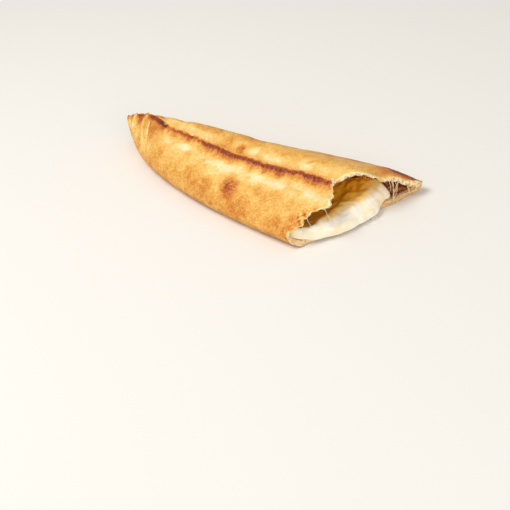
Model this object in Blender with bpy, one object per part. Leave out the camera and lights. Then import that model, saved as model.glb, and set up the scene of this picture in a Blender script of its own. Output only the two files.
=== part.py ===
"""Torn half of a closed pide, a long boat of thin bread dough baked shut over melted cheese and minced meat.

Frame: +X runs from the pinched tip to the torn end, -Y is the side of the upper flap, +Z is up.
The origin is the middle of the bounding box at its base, so the flat underside lies on z = 0.
Every function below takes x as the distance from the tip and y as the distance from the middle line,
in metres; the finished solids are moved to the origin at the end.
"""

import math

import bpy
from mathutils import Vector, noise

# Driving dimensions, in metres
LENGTH = 0.246  # tip to the far torn corner
NEAR_LENGTH = 0.211  # tip to the near torn corner
NEAR_WIDTH = 0.0452  # middle line to the near side, at its fullest
FAR_WIDTH = 0.0475  # middle line to the far side, at its fullest
FAR_BULGE = 0.0038  # the far side swells by this much beside the tip
FAR_WAIST = 0.0036  # and is drawn in by this much at its middle
FAR_CORNER = 0.0045  # how much farther out the far torn corner reaches
RIDGE_HEIGHT = 0.0295  # the dough under the seam, at its fullest
TIP_HEIGHT = 0.0256  # the pinched tip
BELLY_HEIGHT = 0.0085  # level where the loaf is widest
BASE_RADIUS = 0.011  # rounding from the side to the flat base
TIP_LIFT = 0.003  # how far the tip's underside curls off the table
TIP_BEND = 0.0030  # the tip turns this far to the far side
TIP_NOSE = 0.0034  # how far the pinched end juts out, two thirds of the way up
TIP_UNDERCUT = 0.0015  # how far its foot stands back
TEAR_POINT = 0.0036  # the roof tore to a point at the far corner
DROOP_LENGTH = 0.018  # the far roof sags over this length before its torn edge

# The dough
SKIN = 0.0026  # roof and near wall
FAR_SKIN = 0.0042  # far roof and far wall
THINNED = 0.0022  # how much thinner the far roof was drawn before it tore
FLOOR = 0.0036
OVERLAP = 0.0042  # extra dough under the seam, where flap and far roll lie on each other
HOLLOW_START = 0.034  # solid dough from the tip to here
CRUMB = 0.0005  # unevenness of the torn crumb

# The seam: the flap's lip, the valley beyond it, the far roll and the shallow trough before the lip
LIP = 0.0036
LIP_NEAR_SPREAD = 0.0033
LIP_FAR_SPREAD = 0.0014
VALLEY = 0.0050
VALLEY_AT = 0.0042
VALLEY_SPREAD = 0.0027
ROLL = 0.0034
ROLL_AT = 0.0195
ROLL_SPREAD = 0.0110
TROUGH = 0.0013
TROUGH_AT = -0.0105
TROUGH_SPREAD = 0.0048
SEAM_OPENS = (0.022, 0.070)  # the valley fades in between these distances from the tip
SEAM_CLOSES = (0.180, 0.220)  # and fades out again by the tear
BLISTER = 0.0028  # swelling of the far roll where the roof tore
BLISTER_AT = 0.0115
BLISTER_SPREAD = 0.0090

# The pinch pleats by the tip: distance from the tip and half width of each groove
PLEATS = ((0.0025, 0.0022), (0.0110, 0.0026), (0.0225, 0.0032))
PLEAT_DEPTH = 0.0036
PLEAT_LEAN = 0.006  # each groove runs this much farther from the tip at its lower end

# The filling
CLEARANCE = 0.0011  # between dough, cheese and meat
CHEESE_START = 0.044
CHEESE_REST = 0.0122  # top of the roll over the base
CHEESE_RISE = 0.0056  # how much higher it stands by the far side
CHEESE_RIDGE = 0.219  # the roll is highest this far from the tip
CHEESE_HOLLOW = 0.0056  # how far the cheese has sunk behind the roll
CHEESE_OVERHANG = 0.0062
CHEESE_SAG = 0.16  # level of the outermost line, as a share of the height
POCKET = (0.065, 0.140)  # the air over the cheese opens up between these distances from the tip
MEAT_START = 0.080
MEAT_SHARE = 0.68  # share of the far half width where the meat begins
MEAT_SETBACK = 0.0050  # how far the meat stops short of the torn edge
MEAT_NOSE = 0.0030
MEAT_SAG = 0.5
MEAT_SUNK = 0.40  # share of its height that is missing at the torn end
GRAIN = 0.0042  # size of a grain of mince
GRAIN_RELIEF = 0.0010

# Facets
TIP_STATIONS = 12  # over the first TIP_STRETCH of the length, where the pleats are
TIP_STRETCH = 0.14
STATIONS = 46
LINING_STATIONS = 18
NEAR_SAMPLES = 15
FAR_SAMPLES = 18
BASE_SAMPLES = 13
CHEESE_GRID = (36, 18)
MEAT_GRID = (26, 6)

COLOURS = {
    "crust": ((0.80, 0.47, 0.17, 1.0), 0.62),
    "cheese": ((0.93, 0.86, 0.62, 1.0), 0.32),
    "meat": ((0.30, 0.13, 0.07, 1.0), 0.55),
}


# ---------------------------------------------------------------- small helpers


def ease(value, low, high):
    """0 below low, 1 above high, smooth between."""
    share = min(1.0, max(0.0, (value - low) / (high - low)))
    return share * share * (3.0 - 2.0 * share)


def mix(first, second, share):
    return first + (second - first) * share


def hump(distance, centre, spread):
    """1 at the centre, falling off to both sides."""
    return math.exp(-(((distance - centre) / spread) ** 2))


def rounded(room, radius):
    """0 at an edge, rising along a quarter circle to 1 from the radius inwards."""
    back = min(1.0, max(0.0, 1.0 - room / radius))
    return math.sqrt(1.0 - back * back)


def growth(share, fullness, bluntness):
    """How far an outline has opened at a share of its length: 0 at the tip, 1 at full width."""
    closed = (1.0 - min(1.0, max(0.0, share))) ** fullness
    return (1.0 - closed) ** (1.0 / bluntness)


def wander(x, y, size, seed):
    """Smooth unevenness from -1 to 1 that changes over about the given size."""
    return noise.noise(Vector((x / size, y / size, seed)))


# ---------------------------------------------------------------- outline and seam


def tip_bend(x):
    return TIP_BEND * math.exp(-((x / 0.026) ** 2))


def near_edge(x):
    return tip_bend(x) - 0.0012 - NEAR_WIDTH * growth(x / 0.218, 2.5, 1.30)


def far_edge(x):
    corner = FAR_CORNER * ease(x, 0.190, 0.236)
    swell = FAR_BULGE * hump(x, 0.040, 0.019) - FAR_WAIST * hump(x, 0.118, 0.034)
    return tip_bend(x) + 0.0012 + FAR_WIDTH * growth(x / 0.242, 1.38, 1.30) + corner + swell


def belly(x):
    """Level of the widest line."""
    return BELLY_HEIGHT + TIP_LIFT * math.exp(-((x / 0.020) ** 2))


def seam(x):
    """The flap's edge: it starts on the far side of the tip, bows towards the near side and back."""
    bow = -0.0068 * hump(x, 0.136, 0.067)
    start = 0.0052 * hump(x, 0.024, 0.025) - 0.0014 * ease(x, 0.035, 0.070)
    return bow + start + 0.0007 * ease(x, 0.150, 0.185) + 0.0004 * wander(x, 0.0, 0.011, 3.1)


def crest(x):
    """Height of the dough on the seam line, without its lip."""
    rise = mix(TIP_HEIGHT, RIDGE_HEIGHT, growth(x / 0.115, 1.8, 1.0))
    prow = 0.0050 * math.exp(-x / 0.0050)
    return rise - prow + 0.0006 * wander(x, 0.0, 0.016, 8.4)


def seam_strength(x):
    return ease(x, *SEAM_OPENS) * (1.0 - 0.9 * ease(x, *SEAM_CLOSES))


def seam_relief(x, y):
    """The lip, the valley, the far roll and the trough, by distance from the seam."""
    across = y - seam(x)
    opened = ease(x, *SEAM_OPENS)
    scallops = 1.0 + 0.18 * wander(x, 0.0, 0.0085, 5.7)
    spread = LIP_NEAR_SPREAD if across < 0.0 else LIP_FAR_SPREAD
    lip = LIP * scallops * hump(across, 0.0, spread) * mix(0.45, 1.0, opened)
    valley = VALLEY * seam_strength(x) * hump(across, VALLEY_AT, VALLEY_SPREAD)
    roll = ROLL * opened * hump(across, ROLL_AT, ROLL_SPREAD)
    trough = TROUGH * opened * hump(across, TROUGH_AT, TROUGH_SPREAD)
    blister = BLISTER * ease(x, *SEAM_CLOSES) * hump(across, BLISTER_AT, BLISTER_SPREAD)
    return lip - valley + roll + blister - trough


def height_share(x, z):
    """0 on the belly line, 1 on the seam."""
    return min(1.0, max(0.0, (z - belly(x)) / (crest(x) - belly(x))))


def pleated(x, y, z):
    """The same point of the skin, pushed in where a pinch pleat runs down the near side of the tip."""
    if y > seam(x):
        return y, z
    up = height_share(x, z)
    grooves = sum(hump(x - PLEAT_LEAN * (1.0 - up), at, half) for at, half in PLEATS)
    push = PLEAT_DEPTH * ease(up, 0.0, 0.55) * grooves
    return y + push * (1.0 - up), z - push * (0.35 + 0.5 * up)


def unevenness(x, y):
    """Low dents and swellings of the baked skin."""
    return 0.0007 * wander(x, y, 0.026, 1.7) + 0.0003 * wander(x, y, 0.011, 6.2)


# ---------------------------------------------------------------- skin and lining as heights over (x, y)


def arch(x, y, near, far, top):
    """Height of a roof that rises from the belly line at near and far to the top on the seam."""
    middle, low = seam(x), belly(x)
    corner = ease(x, 0.190, LENGTH)
    if y < middle:
        out, power, root = (middle - y) / (middle - near), 2.1, 1.55
    else:
        out, power, root = (y - middle) / (far - middle), 2.7 - 0.6 * corner, 1.75 - 0.45 * corner
    out = min(1.0, max(0.0, out))
    return mix(low, top, (1.0 - out**power) ** (1.0 / root))


def droop(x, y):
    """The thin far roof sags towards its torn edge."""
    share = min(1.0, max(0.0, (x - torn_line(y)) / DROOP_LENGTH + 1.0))
    deep = 0.0060 * hump(y, 0.024, 0.009) + 0.0044 * hump(y, 0.042, 0.0085)
    return deep * share * share


def roof(x, y):
    near, far = near_edge(x), far_edge(x)
    relief = seam_relief(x, y) + unevenness(x, y)
    smooth = arch(x, y, near, far, crest(x)) - droop(x, y)
    return smooth + relief * ease(min(y - near, far - y), 0.0, 0.012)


def underside(x, y):
    near, far = near_edge(x), far_edge(x)
    radius = min(BASE_RADIUS, 0.42 * (far - near))
    lift = TIP_LIFT * hump(x, 0.0, 0.013)
    lift = lift if x < 0.030 else 0.0
    return mix(belly(x), lift, rounded(min(y - near, far - y), radius))


def lining_edges(x):
    return near_edge(x) + SKIN + 0.0010, far_edge(x) - FAR_SKIN - 0.0010


def lining_roof(x, y):
    near, far = lining_edges(x)
    across = y - seam(x)
    drawn = ease(x, 0.195, 0.225)
    far_skin = FAR_SKIN - THINNED * drawn * (1.0 - 0.5 * ease(y, 0.028, 0.036))
    skin = mix(SKIN, far_skin, ease(across, -0.010, 0.010))
    base = arch(x, y, near, far, crest(x) - skin) - droop(x, y)
    doubled = OVERLAP * seam_strength(x) * hump(across, 0.0015, 0.0085)
    roll = mix(0.65, 0.95, drawn) * ROLL * ease(x, *SEAM_OPENS) * hump(across, ROLL_AT, ROLL_SPREAD)
    swelling = BLISTER * ease(x, *SEAM_CLOSES) * hump(across, BLISTER_AT, BLISTER_SPREAD)
    blister = mix(0.8, 0.95, drawn) * swelling
    return base + (roll + blister - doubled) * ease(min(y - near, far - y), 0.0, 0.012)


def lining_floor(x, y):
    near, far = lining_edges(x)
    radius = min(0.8 * BASE_RADIUS, 0.42 * (far - near))
    return mix(belly(x), FLOOR, rounded(min(y - near, far - y), radius))


# ---------------------------------------------------------------- where the loaf was torn


def torn_line(y):
    """The tear slants: the far side is longer."""
    share = min(1.0, max(0.0, (y + NEAR_WIDTH) / (NEAR_WIDTH + FAR_WIDTH)))
    return mix(NEAR_LENGTH, LENGTH - 0.001, share**0.68)


def roof_tear(y):
    """The roof tore back to the seam and left two lobes of the flap beside it."""
    lobe = 0.0026 * hump(y, -0.027, 0.006) + 0.0042 * hump(y, -0.0215, 0.0038)
    lobe += 0.0022 * hump(y, -0.0395, 0.0034) - 0.0026 * hump(y, -0.0300, 0.0032)
    notch = 0.0130 * hump(y, -0.0010, 0.0075) + 0.0060 * hump(y, 0.0085, 0.0055)
    notch += 0.0022 * hump(y, -0.0088, 0.0032)
    flaky = 1.0 + 0.8 * hump(y, -0.038, 0.009)
    ragged = 0.0011 * wander(y, 0.0, 0.0035, 2.2) + 0.0009 * wander(y, 0.0, 0.0017, 4.9)
    point = TEAR_POINT * ease(y, 0.034, 0.050)
    return torn_line(y) + point + lobe - notch + flaky * ragged - 0.0015


def floor_tear(y):
    bay = 0.0044 * hump(y, 0.016, 0.020) + 0.0022 * hump(y, -0.030, 0.012)
    point = TEAR_POINT * ease(y, 0.046, 0.053) - 0.0022 * hump(y, 0.043, 0.006)
    ragged = 0.0009 * wander(y, 0.0, 0.0060, 9.3) + 0.0006 * wander(y, 0.0, 0.0024, 7.7)
    return torn_line(y) + point - bay + ragged


# ---------------------------------------------------------------- the crust


def section(x, near, far, top, bottom):
    """Points round one section: near side up to the seam, over to the far side, back under the base."""
    middle = seam(x)
    points = []
    for k in range(NEAR_SAMPLES):
        turn = 0.5 * math.pi * (1.0 - (1.0 - k / NEAR_SAMPLES) ** 1.55)
        y = middle - (middle - near) * math.cos(turn) ** 1.1
        points.append((y, top(x, y)))
    for k in range(FAR_SAMPLES):
        turn = 0.5 * math.pi * (k / FAR_SAMPLES) ** 1.45
        y = middle + (far - middle) * math.sin(turn)
        points.append((y, top(x, y)))
    for k in range(BASE_SAMPLES):
        turn = math.pi * k / BASE_SAMPLES
        y = (near + far) / 2 + (far - near) / 2 * math.cos(turn)
        points.append((y, bottom(x, y)))
    return points


def outer_section(x):
    smooth = section(x, near_edge(x), far_edge(x), roof, underside)
    on_roof = NEAR_SAMPLES + FAR_SAMPLES
    return [pleated(x, y, z) for y, z in smooth[:on_roof]] + smooth[on_roof:]


def inner_section(x):
    near, far = lining_edges(x)
    return section(x, near, far, lining_roof, lining_floor)


def torn_edge():
    """Distance of the torn edge from the tip, for each point round the section."""
    on_roof = NEAR_SAMPLES + FAR_SAMPLES
    levels = [y for y, _ in outer_section(0.95 * LENGTH)]
    edge = [roof_tear(y) if k < on_roof else floor_tear(y) for k, y in enumerate(levels)]
    for corner in (0, on_roof):
        edge[corner] = (edge[corner - 1] + edge[corner + 1]) / 2
    return edge


def tip_rake(x, z):
    """How far a point by the tip moves along the loaf: the end juts out above its foot."""
    height = z / TIP_HEIGHT
    foot = TIP_UNDERCUT * (1.0 - ease(height, 0.0, 0.55))
    return (foot - TIP_NOSE * hump(height, 0.66, 0.30)) * math.exp(-x / 0.012)


def ring(stretch, section_at, edge, start, setback=0.0):
    """One ring of points: straight across at the start, bent to the torn edge where stretch is 1."""
    straight = mix(start, NEAR_LENGTH, stretch)
    bend = ease(stretch, 0.55, 1.0)
    points = []
    for k, torn in enumerate(edge):
        x = mix(straight, torn - setback, bend)
        y, z = section_at(x)[k]
        points.append(Vector((x + tip_rake(x, z), y, z)))
    return points


def skin_stretch(i):
    """Share of the length at each station of the skin, closer together by the tip."""
    if i < TIP_STATIONS:
        return TIP_STRETCH * i / TIP_STATIONS
    return mix(TIP_STRETCH, 1.0, (i - TIP_STATIONS) / (STATIONS - 1 - TIP_STATIONS))


def crumb_ring(outside, inside):
    """The torn face's middle line, between the skin's edge and the lining's edge."""
    points = []
    for k, (skin_point, lining_point) in enumerate(zip(outside, inside)):
        middle = (skin_point + lining_point) / 2
        middle.x = max(skin_point.x, lining_point.x) + CRUMB * wander(k, 0.0, 1.3, 11.0)
        points.append(middle)
    return points


def make_crust():
    """One closed skin: from the tip to the torn edge, over the crumb and back along the lining."""
    edge = torn_edge()
    around = len(edge)
    rings = [ring(skin_stretch(i), outer_section, edge, 0.0) for i in range(STATIONS)]
    lining = []
    for i in range(LINING_STATIONS):
        stretch = (i / (LINING_STATIONS - 1)) ** 0.8
        lining.append(ring(stretch, inner_section, edge, HOLLOW_START, setback=0.0012))
    rings.append(crumb_ring(rings[-1], lining[-1]))
    rings.extend(reversed(lining))
    points = [point for one in rings for point in one]
    points.append(sum(rings[0], Vector()) / around - Vector((0.0012, 0.0, 0.0)))
    points.append(sum(rings[-1], Vector()) / around - Vector((0.0020, 0.0, 0.0)))
    tip, blind_end = len(points) - 2, len(points) - 1
    faces = []
    for r in range(len(rings) - 1):
        for k in range(around):
            a, b = r * around + k, r * around + (k + 1) % around
            faces.append((a, a + around, b + around, b))
    last = (len(rings) - 1) * around
    for k in range(around):
        n = (k + 1) % around
        faces.append((tip, k, n))
        faces.append((blind_end, last + n, last + k))
    return add_object("crust", points, faces)


# ---------------------------------------------------------------- the filling


def meat_line(x):
    """Where the cheese ends and the meat begins; nearer the tip the cheese fills the far side too."""
    far = lining_edges(x)[1]
    inner = MEAT_SHARE * far + 0.0012 * wander(x, 0.0, 0.017, 12.3)
    return mix(far, inner, ease(x, 0.045, MEAT_START))


def cheese_ridge(y):
    """The line where the roll of cheese is highest; it turns back to the near wall."""
    return CHEESE_RIDGE - 0.0085 * ease(-y, 0.024, 0.042)


def cheese_front(y):
    """How far the roll sagged over the torn edge of the floor."""
    over = CHEESE_OVERHANG * hump(y, -0.010, 0.022)
    return torn_line(y) + over - 0.0040 * ease(-y, 0.030, 0.044) - 0.0038 * ease(y, 0.010, 0.030)


def cheese_top(x, y):
    """Level of the melted cheese: a roll at the torn end, sunk behind it, and full by the tip."""
    climb = CHEESE_RISE * ease(y, 0.004, 0.032)
    behind = cheese_ridge(y) - x
    hollow = CHEESE_HOLLOW * ease(behind, -0.002, 0.018) * (1.0 - 0.5 * ease(y, 0.0, 0.028))
    filled = 0.016 * (1.0 - ease(x, *POCKET))
    return CHEESE_REST + climb - hollow + filled + 0.0008 * wander(x, y, 0.014, 14.6)


def cheese_place(u, v):
    """Place of the cheese at a share u along it and v across it: its underside and its top,
    and how much of the height above and below the border line it has there."""
    share = 0.5 - 0.5 * math.cos(math.pi * v)
    front_near = lining_edges(NEAR_LENGTH)[0]
    front_y = mix(front_near, meat_line(LENGTH), share)
    front = cheese_front(front_y) - CLEARANCE
    x = mix(CHEESE_START, front, math.sin(0.5 * math.pi * u) ** 1.15)
    tapering = 0.0014 * (1.0 - ease(x, CHEESE_START, 0.080))
    near, far = lining_edges(x)[0] + CLEARANCE + tapering, meat_line(x) - CLEARANCE / 2 - tapering
    y = mix(near, far, share)
    low = lining_floor(x, y) + CLEARANCE
    high = max(low + 0.0003, min(cheese_top(x, y), lining_roof(x, y) - CLEARANCE))
    beside_meat = rounded(far - y + 0.0002, 0.0030) if x > MEAT_START else 1.0
    slope = min(1.0, max(0.0, (front - x) / max(front - cheese_ridge(y), 0.006)))
    above = (1.0 - (1.0 - slope) ** 2.1) ** (1.0 / 1.9)
    return x, y, low, high, above * beside_meat, rounded(front - x, 0.0040) * beside_meat


def meat_place(u, v):
    """Place, underside and top of the strip of minced meat in the far corner."""
    share = 0.5 - 0.5 * math.cos(math.pi * v)
    front_y = mix(meat_line(LENGTH), lining_edges(LENGTH)[1], share)
    front = torn_line(front_y) - MEAT_SETBACK + GRAIN_RELIEF * wander(share, 0.0, 0.2, 21.0)
    x = mix(MEAT_START, front, math.sin(0.5 * math.pi * u) ** 1.15)
    near, far = meat_line(x) + CLEARANCE / 2, lining_edges(x)[1] - CLEARANCE
    y = mix(near, far, share)
    low = lining_floor(x, y) + CLEARANCE
    grains = GRAIN_RELIEF * (1.0 + wander(x, y, GRAIN, 17.5))
    high = max(low, lining_roof(x, y) - CLEARANCE - grains)
    high = mix(high, low, MEAT_SUNK * ease(x, front - 0.014, front))
    ends = rounded(front - x, MEAT_NOSE) * rounded(x - MEAT_START, MEAT_NOSE)
    fullness = ends * rounded(y - near + 0.0002, 0.0025)
    return x, y, low, high, fullness, fullness


def make_pillow(name, grid, place, sag):
    """A closed solid from an upper and a lower sheet that meet along their shared border.
    The border lies at the share sag of the height."""
    columns, rows = grid
    upper, lower, points = {}, {}, []
    for i in range(columns + 1):
        for j in range(rows + 1):
            x, y, low, high, above, below = place(i / columns, j / rows)
            border = mix(low, high, sag)
            upper[i, j] = lower[i, j] = len(points)
            if 0 < i < columns and 0 < j < rows:
                points.append((x, y, mix(border, high, above)))
                lower[i, j] = len(points)
                points.append((x, y, mix(border, low, below)))
            else:
                points.append((x, y, border))
    faces = []
    for i in range(columns):
        for j in range(rows):
            corners = ((i, j), (i + 1, j), (i + 1, j + 1), (i, j + 1))
            faces.append([upper[c] for c in corners])
            faces.append([lower[c] for c in reversed(corners)])
    return add_object(name, points, faces)


# ---------------------------------------------------------------- build


def add_object(name, points, faces):
    mesh = bpy.data.meshes.new(name)
    mesh.from_pydata([tuple(point) for point in points], [], faces)
    mesh.validate()
    mesh.shade_smooth()
    mesh.set_sharp_from_angle(angle=math.radians(50))
    colour, roughness = COLOURS[name]
    material = bpy.data.materials.new(name)
    material.use_nodes = True
    shader = material.node_tree.nodes["Principled BSDF"]
    shader.inputs["Base Color"].default_value = colour
    shader.inputs["Roughness"].default_value = roughness
    shader.inputs["Metallic"].default_value = 0.0
    mesh.materials.append(material)
    thing = bpy.data.objects.new(name, mesh)
    bpy.context.scene.collection.objects.link(thing)
    return thing


def stand_on_origin(things):
    """Moves the solids so that the box round all of them stands on the origin."""
    points = [vertex.co for thing in things for vertex in thing.data.vertices]
    low = Vector((min(point[axis] for point in points) for axis in range(3)))
    high = Vector((max(point[axis] for point in points) for axis in range(3)))
    for thing in things:
        thing.location = (-(low.x + high.x) / 2, -(low.y + high.y) / 2, -low.z)


for old in list(bpy.data.objects):
    bpy.data.objects.remove(old, do_unlink=True)
crust = make_crust()
cheese = make_pillow("cheese", CHEESE_GRID, cheese_place, CHEESE_SAG)
meat = make_pillow("meat", MEAT_GRID, meat_place, MEAT_SAG)
stand_on_origin([crust, cheese, meat])
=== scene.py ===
import math

import bpy
import numpy as np
from mathutils import Matrix, Vector, noise


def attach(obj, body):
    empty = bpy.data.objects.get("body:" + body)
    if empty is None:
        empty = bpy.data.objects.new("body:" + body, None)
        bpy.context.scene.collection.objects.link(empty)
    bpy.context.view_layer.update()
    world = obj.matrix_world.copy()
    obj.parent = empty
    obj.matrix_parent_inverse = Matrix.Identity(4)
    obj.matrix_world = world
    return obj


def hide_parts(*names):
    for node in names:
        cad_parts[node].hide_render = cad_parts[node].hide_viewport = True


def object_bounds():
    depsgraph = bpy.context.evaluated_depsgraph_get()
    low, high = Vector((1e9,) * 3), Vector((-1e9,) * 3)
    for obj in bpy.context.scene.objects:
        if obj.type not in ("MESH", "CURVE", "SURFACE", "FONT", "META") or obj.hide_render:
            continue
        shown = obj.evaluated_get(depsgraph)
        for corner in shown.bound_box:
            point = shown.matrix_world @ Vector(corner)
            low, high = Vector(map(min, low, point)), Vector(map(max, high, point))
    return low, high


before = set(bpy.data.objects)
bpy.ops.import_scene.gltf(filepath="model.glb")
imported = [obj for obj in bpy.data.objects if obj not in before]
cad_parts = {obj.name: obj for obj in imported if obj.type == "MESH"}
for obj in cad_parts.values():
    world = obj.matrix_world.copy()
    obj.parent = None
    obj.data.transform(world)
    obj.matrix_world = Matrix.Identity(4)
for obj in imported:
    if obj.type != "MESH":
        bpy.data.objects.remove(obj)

cad_low, cad_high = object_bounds()

# ================================================================ the baked crust
# A closed boat of thin bread dough. The near flap is folded over the far side and pinched shut along a seam,
# which scorches in the oven, and the tip is pinched into pleats. The loaf was then torn across by hand,
# so its near end is a ragged edge of thin skin and pale crumb round a pocket that steam blew up.

TIP_AT = Vector((-0.1218933, -0.0034041, 0.0))

LENGTH = 0.246
NEAR_LENGTH = 0.211
NEAR_WIDTH = 0.0452
FAR_WIDTH = 0.0475
FAR_CORNER = 0.0045
FAR_BULGE = 0.0038
FAR_WAIST = 0.0036
TEAR_POINT = 0.0036
DROOP_LENGTH = 0.018
RIDGE_HEIGHT = 0.0295
TIP_HEIGHT = 0.0256
TIP_NOSE = 0.0034
TIP_UNDERCUT = 0.0015
BELLY_HEIGHT = 0.0085
BASE_RADIUS = 0.011
TIP_LIFT = 0.003
TIP_BEND = 0.0030
SKIN = 0.0026
FAR_SKIN = 0.0042
THINNED = 0.0024
FLOOR = 0.0036
OVERLAP = 0.0042
HOLLOW_START = 0.034
LIP = 0.0036
LIP_NEAR_SPREAD = 0.0033
LIP_FAR_SPREAD = 0.0012
VALLEY = 0.0052
VALLEY_AT = 0.0040
VALLEY_SPREAD = 0.0027
ROLL = 0.0034
ROLL_AT = 0.0195
ROLL_SPREAD = 0.0110
TROUGH = 0.0013
TROUGH_AT = -0.0105
TROUGH_SPREAD = 0.0048
SEAM_OPENS = (0.022, 0.070)
SEAM_CLOSES = (0.180, 0.220)
BLISTER = 0.0028
BLISTER_AT = 0.0115
BLISTER_SPREAD = 0.0090
# The pinch pleats: distance of each groove from the tip, how far it leans back at its foot, half width
PLEATS = ((0.0042, 0.007, 0.0013), (0.0132, 0.004, 0.0016), (0.0270, 0.026, 0.0024))
PLEAT_DEPTH = 0.0036
SCORCH_AT = -0.0021  # the scorched rim of the flap, measured from the seam
# Short creases where the far roll was pressed: x, y, direction in degrees, length, width, depth
CREASES = (
    (0.126, 0.001, 35.0, 0.010, 0.0022, 0.0019),
    (0.185, 0.009, 20.0, 0.012, 0.0018, 0.0007),
    (0.176, 0.004, -25.0, 0.009, 0.0016, 0.0006),
    (0.088, -0.020, -60.0, 0.014, 0.0035, 0.0006),
    (0.060, -0.012, -55.0, 0.012, 0.0030, 0.0006),
    (0.105, -0.026, -65.0, 0.016, 0.0040, 0.0005),
)
STATIONS = 356
LINING_STATIONS = 56
NEAR_SAMPLES = 98
FAR_SAMPLES = 94
BASE_SAMPLES = 30
RIM_RINGS = 7


def ease(value, low, high):
    share = np.clip((value - low) / (high - low), 0.0, 1.0)
    return share * share * (3.0 - 2.0 * share)


def mix(first, second, share):
    return first + (second - first) * share


def hump(distance, centre, spread):
    return np.exp(-(((distance - centre) / spread) ** 2))


def rounded(room, radius):
    back = np.clip(1.0 - room / radius, 0.0, 1.0)
    return np.sqrt(1.0 - back * back)


def growth(share, fullness, bluntness):
    return (1.0 - (1.0 - np.clip(share, 0.0, 1.0)) ** fullness) ** (1.0 / bluntness)


def wander(x, y, size, seed):
    """Smooth unevenness from -1 to 1 over arrays of places, changing over about the given size."""
    places = np.broadcast_arrays(np.asarray(x, float) / size, np.asarray(y, float) / size)
    values = [noise.noise((a, b, seed)) for a, b in zip(places[0].ravel(), places[1].ravel())]
    return np.array(values).reshape(places[0].shape)


def grain(points, size, seed):
    """Smooth unevenness from -1 to 1 at points in space."""
    scaled = points.reshape(-1, 3) / size + seed
    return np.array([noise.noise(p) for p in scaled]).reshape(points.shape[:-1])


# Every form from here on takes x as the distance from the tip and y from the middle line, in metres
def tip_bend(x):
    return TIP_BEND * np.exp(-((x / 0.026) ** 2))


def near_edge(x):
    return tip_bend(x) - 0.0012 - NEAR_WIDTH * growth(x / 0.218, 2.5, 1.30)


def far_edge(x):
    corner = FAR_CORNER * ease(x, 0.190, 0.236)
    swell = FAR_BULGE * hump(x, 0.040, 0.019) - FAR_WAIST * hump(x, 0.118, 0.034)
    return tip_bend(x) + 0.0012 + FAR_WIDTH * growth(x / 0.242, 1.38, 1.30) + corner + swell


def belly(x):
    return BELLY_HEIGHT + TIP_LIFT * np.exp(-((x / 0.020) ** 2))


def seam(x):
    bow = -0.0068 * hump(x, 0.136, 0.067)
    start = 0.0052 * hump(x, 0.024, 0.025) - 0.0014 * ease(x, 0.035, 0.070)
    return bow + start + 0.0007 * ease(x, 0.150, 0.185) + 0.0004 * wander(x, 0.0, 0.011, 3.1)


def crest(x):
    rise = mix(TIP_HEIGHT, RIDGE_HEIGHT, growth(x / 0.115, 1.8, 1.0))
    prow = 0.0050 * np.exp(-x / 0.0050)
    return rise - prow + 0.0006 * wander(x, 0.0, 0.016, 8.4)


def seam_strength(x):
    return ease(x, *SEAM_OPENS) * (1.0 - 0.9 * ease(x, *SEAM_CLOSES))


def arch(x, y, near, far, top):
    """Height of a roof that rises from the belly line at near and far to the top on the seam."""
    middle, low, corner = seam(x), belly(x), ease(x, 0.190, LENGTH)
    near_out = np.clip((middle - y) / (middle - near), 0.0, 1.0)
    far_out = np.clip((y - middle) / (far - middle), 0.0, 1.0)
    near_rise = (1.0 - near_out**2.1) ** (1.0 / 1.55)
    far_rise = (1.0 - far_out ** (2.7 - 0.6 * corner)) ** (1.0 / (1.75 - 0.45 * corner))
    return mix(low, top, np.where(y < middle, near_rise, far_rise))


def seam_relief(x, y):
    """The flap's ragged lip, the valley behind it, the far roll and the trough in front."""
    ragged = 0.0004 * wander(x, 0.0, 0.0046, 15.2) + 0.0003 * wander(x, 0.0, 0.0019, 4.4)
    across = y - seam(x)
    opened = ease(x, *SEAM_OPENS)
    scallops = 1.0 + 0.18 * wander(x, 0.0, 0.0085, 5.7) + 0.10 * wander(x, 0.0, 0.0026, 2.9)
    edge = across - ragged
    spread = np.where(edge < 0.0, LIP_NEAR_SPREAD, LIP_FAR_SPREAD)
    lip = LIP * scallops * hump(edge, 0.0, spread) * mix(0.45, 1.0, opened)
    valley = VALLEY * seam_strength(x) * hump(edge, VALLEY_AT, VALLEY_SPREAD)
    roll = ROLL * opened * hump(across, ROLL_AT, ROLL_SPREAD)
    trough = TROUGH * opened * hump(across, TROUGH_AT, TROUGH_SPREAD)
    blister = BLISTER * ease(x, *SEAM_CLOSES) * hump(across, BLISTER_AT, BLISTER_SPREAD)
    return lip - valley + roll + blister - trough


def creases(x, y):
    """Short dents in the skin, each with a slight swelling beside it."""
    depth = np.zeros_like(x)
    for at_x, at_y, turn, length, width, deep in CREASES:
        turn = math.radians(turn)
        along = (x - at_x) * math.cos(turn) + (y - at_y) * math.sin(turn)
        beside = (y - at_y) * math.cos(turn) - (x - at_x) * math.sin(turn)
        profile = hump(beside, 0.0, width) - 0.6 * hump(beside, 2.0 * width, 1.2 * width)
        depth += deep * profile * hump(along, 0.0, length / 2)
    return -depth


def torn_line(y):
    share = np.clip((y + NEAR_WIDTH) / (NEAR_WIDTH + FAR_WIDTH), 0.0, 1.0)
    return mix(NEAR_LENGTH, LENGTH - 0.001, share**0.68)


def droop(x, y):
    """The thin far roof sags towards its torn edge."""
    share = np.clip((x - torn_line(y)) / DROOP_LENGTH + 1.0, 0.0, 1.0)
    return (0.0060 * hump(y, 0.024, 0.009) + 0.0044 * hump(y, 0.042, 0.0085)) * share * share


def roof(x, y):
    near, far = near_edge(x), far_edge(x)
    low_relief = 0.0007 * wander(x, y, 0.026, 1.7) + 0.0003 * wander(x, y, 0.011, 6.2)
    relief = seam_relief(x, y) + creases(x, y) + low_relief
    smooth = arch(x, y, near, far, crest(x)) - droop(x, y)
    return smooth + relief * ease(np.minimum(y - near, far - y), 0.0, 0.012)


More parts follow.
